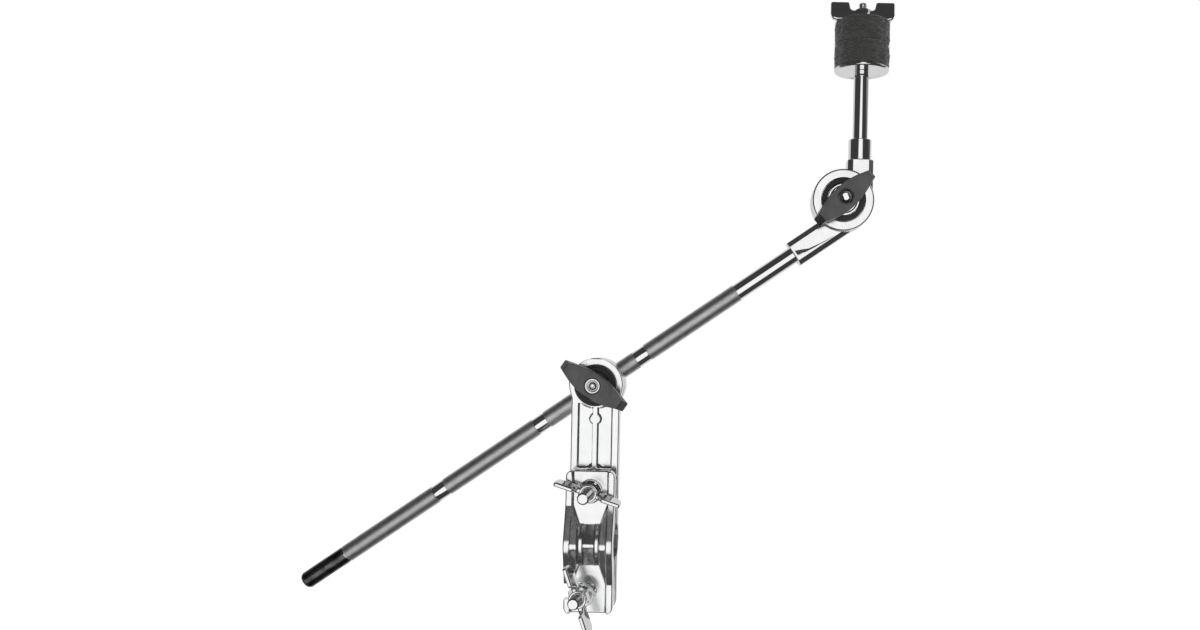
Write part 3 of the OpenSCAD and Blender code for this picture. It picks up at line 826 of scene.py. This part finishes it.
head_drum = lathe([(3.2, 1.15), (17, 1.15), (17, 0.25), (drum_r, 0.25, 0.5), (drum_r, tilter_half, 1.3),
                   (ring_out + 0.25, tilter_half, 0.5), (ring_out + 0.25, tilter_half - 1),
                   (3.2, tilter_half - 1)], 160, closed=True)
neck_top = 30.0
neck = new_object("neck", prism(octagon(), 2.0, neck_top, 0.6),
                  place((seat.x, boom_y, tilter.z), UP, RIGHT))
cut(neck, drill(outside_r, -30, -0.25, at_tilter, 160), drill(inside_r, -0.3, 11.8, at_tilter, 160))
head = new_object("tilter_head_casting", merged(head_drum, ratchet_teeth(1)), at_tilter)
piece("tilter_head_casting", join(head, neck), None, "head", "tilter_head", "chrome_casting", casting_chrome)

socket_drum = lathe([(3.2, -1.15), (17, -1.15), (17, -0.25), (drum_r, -0.25, 0.5),
                     (drum_r, -tilter_half, 1.3), (3.2, -tilter_half)], 160, closed=True)
mouth = tilter_along - 50.9
bar = new_object("bar", prism(octagon(), mouth, tilter_along - 6, 0.6), at_boom)
up_boom = Vector((-boom_dir.z, 0, boom_dir.x))
# The scoop tapers along the block: place, upper edge, lower edge and depth at each station
stations = [(1.6, 1.6, -3.3, 2.5), (6, -0.2, -3.7, 1.8), (11, -2.6, -4.3, 0.9), (20, -4.1, -4.9, 0.4),
            (31, -5.3, -5.5, 0.1)]
scoop = [q for along, top, low, deep in stations
         for q in ((along, top, -deep), (along, low, 0), (along, low, 2), (along, top, 2))]
scoop = scoop, grid_faces(len(stations), 4, wrap_cols=True) + [(3, 2, 1, 0), (16, 17, 18, 19)]
scoop_at = Matrix((boom_dir, up_boom, FRONT)).transposed().to_4x4()
scoop_at.translation = Vector((0, boom_y, hub.z)) + boom_dir * mouth + FRONT * block_half
cut(bar, drill(outside_r, 0, 20, at_tilter, 160), drill(inside_r, -0.3, 0.5, at_tilter, 160),
    drill(socket_bore, -20, mouth + 29, at_boom), new_object("cutter", scoop, scoop_at))
mouth_ring = moved(lathe([(socket_bore, mouth - 0.15), (7.5, mouth - 0.15, 0.3), (7.5, mouth + 1),
                          (socket_bore, mouth + 1)], 96, closed=True), at_tilter.inverted() @ at_boom)
socket = new_object("tilter_socket_casting", merged(socket_drum, ratchet_teeth(-1), mouth_ring), at_tilter)
piece("tilter_socket_casting", join(socket, bar), None, "socket", "tilter_socket", "chrome_casting",
      casting_chrome)

screw_at = place(Vector((0, boom_y, hub.z)) + boom_dir * (tilter_along - 37), -FRONT, boom_dir)
screw = new_object("socket_screw_set",
                   lathe([(0, 6.4), (1.5, 6.4, 0.2), (1.58, 9.0, 0.25), (0, 9.0)], 48), screw_at)
cut(screw, saw([polar(0.8, TAU * k / 6) for k in range(6)], 7.6, 10, screw_at))
piece("socket_screw_set", screw, None, "socket", "socket_screw", "plain_steel", dark_steel)

stud_front = 26.4
tilter_stud = new_object("tilter_bolt_steel", thread(*M6, -12.0, stud_front, 0.5), at_tilter)
tang = turned(at_tilter, 23)
flat = [(1.7, stud_front + 1), (1.7, stud_front - 1.6), (3.4, stud_front - 3.4), (9, stud_front - 3.4),
        (9, stud_front + 1)]
for flip in (0, math.pi):
    across = Matrix.Rotation(flip, 4, "Z") @ ON_EDGE
    cut(tilter_stud, saw(flat, -5, 5, tang @ across))
bolt_hex = fillet([polar(5.77, TAU * k / 6, 0.4) for k in range(6)])
tilter_stud = join(tilter_stud, new_object("hexagon", prism(bolt_hex, -16, -12, 0.35), at_tilter))
piece("tilter_bolt_steel", tilter_stud, None, "socket", "tilter_bolt", "chrome_steel", steel_chrome)
piece("tilter_spring_coil", coil(5, 0.6, -4.9, 4.9, 5), at_tilter, "socket", "tilter_spring", "plain_steel",
      dark_steel)
ring = lathe([(ring_in, tilter_half - 1), (ring_out, tilter_half - 1), (ring_out, tilter_half + 2, 0.7),
              (ring_in, tilter_half + 2, 0.5)], 128, closed=True)
piece("tilter_ring_moulded", ring, at_tilter, "head", "tilter_ring", "black_disc", disc_mat)
thrust = lathe([(3.3, 11), (11.5, 11), (11.5, 13.2, 0.5), (10.2, 13.2, 0.3), (9.3, 14.0, 0.5),
                (3.3, 14.0)], 128, closed=True)
piece("thrust_washer_turned", thrust, at_tilter, "head", "tilter_thrust_washer", "chrome_steel", steel_chrome)
base = tilter_half + 2.3
lever("tilter_lever_moulded", at_tilter, 43, base, "tilter_handle", "tilter_lever")
sunk = lathe([(3.06, base + 0.4), (insert_r, base + 0.4, 0.2), (insert_r, base + 12.4, 0.2),
              (5.0, base + 12.4, 0.2), (4.8, base + 8.4, 0.3), (3.06, base + 8.0)], 96, closed=True)
piece("tilter_insert_turned", sunk, at_tilter, "tilter_handle", "tilter_lever_nut", "chrome_steel",
      dark_steel)

# ---------------------------------------------------------------- cymbal seat

rod_r, rod_len, stud_len = 5.5, 65.2, 49.4
collar_r, collar_len = 8.3, 15.1
cup_thick, felt_gap, sleeve_sunk = 1.5, 0.2, 2.5
felt_r, felt_h, felt_bore = 20.0, 16.9, 6.6
neck_z = tilter.z + neck_top
shoulder = neck_z + rod_len
stud_top = shoulder + stud_len
cup_top = shoulder + cup_thick
stack_top = cup_top + 2 * (felt_h + felt_gap)
sleeve_top = stack_top - sleeve_sunk

collar = lathe([(rod_r, neck_z), (collar_r, neck_z, 0.5), (collar_r, neck_z + collar_len, 0.5),
                (rod_r, neck_z + collar_len)], 96, closed=True)
piece("rod_collar_turned", collar, at_rod, "head", "rod_collar", "chrome_steel", steel_chrome)
rod = merged(lathe([(0, neck_z - 8), (4, neck_z - 8), (4, neck_z), (rod_r, neck_z), (rod_r, shoulder, 0.4),
                    (0, shoulder)], 96),
             thread(*M6, shoulder - 0.5, stud_top, 0.8))
piece("cymbal_rod_turned", rod, at_rod, "head", "cymbal_rod", "chrome_steel", steel_chrome)
lip_low = shoulder - 0.7
cup = lathe([(3.05, shoulder), (16.4, shoulder, 1.2), (17.8, lip_low, 0.4), (19.2, lip_low, 0.4),
             (19.8, shoulder, 0.6), (19.8, cup_top, 0.4), (3.05, cup_top)], 160, closed=True)
piece("cup_washer_pressed", cup, at_rod, "head", "cup_washer", "chrome_steel", steel_chrome)
sleeve = lathe([(3.05, cup_top), (6.2, cup_top), (6.2, sleeve_top, 0.4), (3.05, sleeve_top, 0.2)], 72,
               closed=True)
piece("felt_sleeve_nylon", sleeve, at_rod, "head", "felt_sleeve", "sleeve", sleeve_mat)


def felt(name, z0, seed, body, node):
    """Pressed felt ring: matted outside, rounded lips, a worn bore and loose fibres."""
    rng = random.Random(seed)
    seg, side_rows, lip, strands = 200, 46, 1.7, 1500
    line = [(felt_bore, z0 + 1.2), (felt_bore + 0.5, z0 + 0.2), (9, z0), (12, z0), (15, z0), (17.4, z0)]
    for j in range(side_rows + 1):
        t = j / side_rows
        d = min(t, 1 - t) * felt_h
        pull = lip - math.sqrt(max(0, lip ** 2 - (lip - min(d, lip)) ** 2))
        line.append((felt_r - 0.35 - pull * 0.9, z0 + felt_h * t))
    line += [(17.4, z0 + felt_h), (15, z0 + felt_h), (12, z0 + felt_h), (9, z0 + felt_h),
             (felt_bore + 0.5, z0 + felt_h - 0.2), (felt_bore, z0 + felt_h - 1.2)]
    verts = []
    for r, h in line:
        for k in range(seg):
            a = TAU * k / seg
            x, y = math.cos(a), math.sin(a)
            lump = 0
            if r > 8:
                q = Vector((x * r, y * r, h * 1.3 + seed * 40))
                lump = 0.75 * noise.noise(q / 7.5) + 0.42 * noise.noise(q / 2.8) + 0.2 * noise.noise(q / 1.1)
                crease = noise.noise(Vector((x * 1.5 + seed, y * 1.5, h / 2.0)))
                lump -= 0.62 * max(0, 1 - abs(crease) / 0.16)
                lump -= 0.12 * (r < 17)
            keep = 1 if r > 16 else 0.2
            rr = r + lump * keep
            dz = 0.12 * noise.noise(Vector((x * r / 3, y * r / 3, seed))) if 8 < r < 18.5 else 0
            verts.append((rr * x, rr * y, h + dz * (1 if h > z0 + felt_h / 2 else -1) * 0.6))
    faces = grid_faces(len(line), seg, wrap_rows=True, wrap_cols=True)
    shapes = [(verts, faces)]
    for i in range(strands):
        a = rng.uniform(0, TAU)
        h = z0 + rng.uniform(0.4, felt_h - 0.4)
        r = felt_r - 0.55
        length = rng.uniform(1.2, 4.0)
        lean = rng.gauss(0, 0.5)
        lift = rng.uniform(0.15, 0.75)
        curl = rng.uniform(-0.5, 0.5)
        w = rng.uniform(0.03, 0.06)
        pts = []
        for s in range(5):
            t = s / 4
            aa = a + length * t * math.cos(lean + curl * t) / felt_r
            zz = min(z0 + felt_h - 0.1, max(z0 + 0.1, h + length * t * math.sin(lean + curl * t)))
            rr = r + lift * math.sin(math.pi * t) + rng.uniform(-0.05, 0.05)
            pts += [polar(rr, aa, zz - w), polar(rr + w, aa, zz), polar(rr, aa, zz + w)]
        strand = grid_faces(5, 3, wrap_cols=True) + [(0, 1, 2), (14, 13, 12)]
        shapes.append((pts, strand))
    obj = new_object(name, merged(*shapes), at_rod)
    obj.data.materials.append(felt_mat)
    obj.data.shade_smooth()
    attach(obj, body)
    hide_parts(node)
    return obj


felt_low = cup_top + felt_gap
felt("lower_felt_pressed", felt_low, 3, "lower_felt", "felt_lower")
felt("upper_felt_pressed", felt_low + felt_h + felt_gap, 8, "upper_felt", "felt_upper")
piece("top_nut_cast", wing_nut(3.0, 0), turned(at_rod, 0, stack_top), "top_nut", "cymbal_wing_nut",
      "chrome_steel", nut_chrome)

# ---------------------------------------------------------------- stage, light, camera

scene = bpy.context.scene
scene.view_settings.view_transform = "Standard"
scene.view_settings.look = "None"

floor_drop = 0.30
floor_size = 9.0
floor_z = cad_box[0].z - floor_drop
mesh = bpy.data.meshes.new("floor")
mesh.from_pydata([(-floor_size, -floor_size, floor_z), (floor_size, -floor_size, floor_z),
                  (floor_size, floor_size, floor_z), (-floor_size, floor_size, floor_z)], [], [(0, 1, 2, 3)])
floor = add_object("floor", mesh)
pale = Paint("pale_floor", Roughness=0.9, Emission_Strength=0.9)
pale.shader.inputs["Base Color"].default_value = (0.35, 0.35, 0.35, 1)
pale.shader.inputs["Emission Color"].default_value = (1, 1, 1, 1)
mesh.materials.append(pale.material)
floor.visible_glossy = False

world = bpy.data.worlds.new("studio")
scene.world = world
world.use_nodes = True
tree = world.node_tree
tree.nodes.clear()


def wnode(kind, **values):
    node = tree.nodes.new(kind)
    for key, value in values.items():
        setattr(node, key, value)
    return node


def patch(direction, inner_deg, outer_deg, level):
    """Soft round patch of light in a fixed direction of the studio."""
    dot = wnode("ShaderNodeVectorMath", operation="DOT_PRODUCT")
    dot.inputs[1].default_value = Vector(direction).normalized()
    tree.links.new(sky.outputs["Generated"], dot.inputs[0])
    span = wnode("ShaderNodeMapRange", interpolation_type="SMOOTHSTEP")
    span.inputs["From Min"].default_value = math.cos(math.radians(outer_deg))
    span.inputs["From Max"].default_value = math.cos(math.radians(inner_deg))
    span.inputs["To Min"].default_value = 0
    span.inputs["To Max"].default_value = level
    tree.links.new(dot.outputs["Value"], span.inputs["Value"])
    return span.outputs["Result"]


sky = wnode("ShaderNodeTexCoord")
base_level = 0.045
parts = [patch((0, -1, -0.176), 26, 32, 1.0), patch((0, 1, 0), 58, 74, 0.66),
         patch((0.80, 0.05, 0.58), 12, 26, 0.65), patch((-0.86, 0.05, -0.45), 8, 20, 0.26)]
total = parts[0]
for p in parts[1:]:
    add = wnode("ShaderNodeMath", operation="MAXIMUM")
    tree.links.new(total, add.inputs[0])
    tree.links.new(p, add.inputs[1])
    total = add.outputs[0]
lift = wnode("ShaderNodeMath", operation="ADD")
lift.inputs[1].default_value = base_level
tree.links.new(total, lift.inputs[0])
white = (1, 1, 1, 1)
studio = wnode("ShaderNodeBackground")
studio.inputs["Color"].default_value = white
tree.links.new(lift.outputs[0], studio.inputs["Strength"])
backdrop = wnode("ShaderNodeBackground")
backdrop.inputs["Color"].default_value = white
backdrop.inputs["Strength"].default_value = 1.0
rays = wnode("ShaderNodeLightPath")
swap = wnode("ShaderNodeMixShader")
tree.links.new(rays.outputs["Is Camera Ray"], swap.inputs[0])
tree.links.new(studio.outputs[0], swap.inputs[1])
tree.links.new(backdrop.outputs[0], swap.inputs[2])
world_out = wnode("ShaderNodeOutputWorld")
tree.links.new(swap.outputs[0], world_out.inputs[0])


def soft_light(name, location, size, watts):
    data = bpy.data.lights.new(name, "AREA")
    data.size = size
    data.energy = watts
    obj = add_object(name, data)
    obj.location = location
    obj.rotation_euler = (Vector((0.05, 0, 0.15)) - Vector(location)).to_track_quat("-Z", "Y").to_euler()
    obj.visible_glossy = False


soft_light("key", (-0.8, -1.2, 1.3), 0.9, 9)
soft_light("fill", (1.2, -0.9, 0.5), 1.1, 5)
soft_light("rear", (0.2, 1.5, 0.9), 1.2, 8)

eye_from_hub = Vector((95.0, -693.3, 29.9))
roll = math.radians(1.2)
data = bpy.data.cameras.new("view")
data.sensor_width = 36.0
data.lens = 28.58
data.shift_x = -0.1104
data.shift_y = 0.0252
data.clip_start, data.clip_end = 0.02, 50
camera = add_object("view", data)
right = Vector((math.cos(roll), 0, math.sin(roll)))
up = Vector((-math.sin(roll), 0, math.cos(roll)))
turn = Matrix((right, up, FRONT)).transposed().to_4x4()
turn.translation = (Vector((0, boom_y, hub.z)) + eye_from_hub) * MM
camera.matrix_world = turn
scene.camera = camera
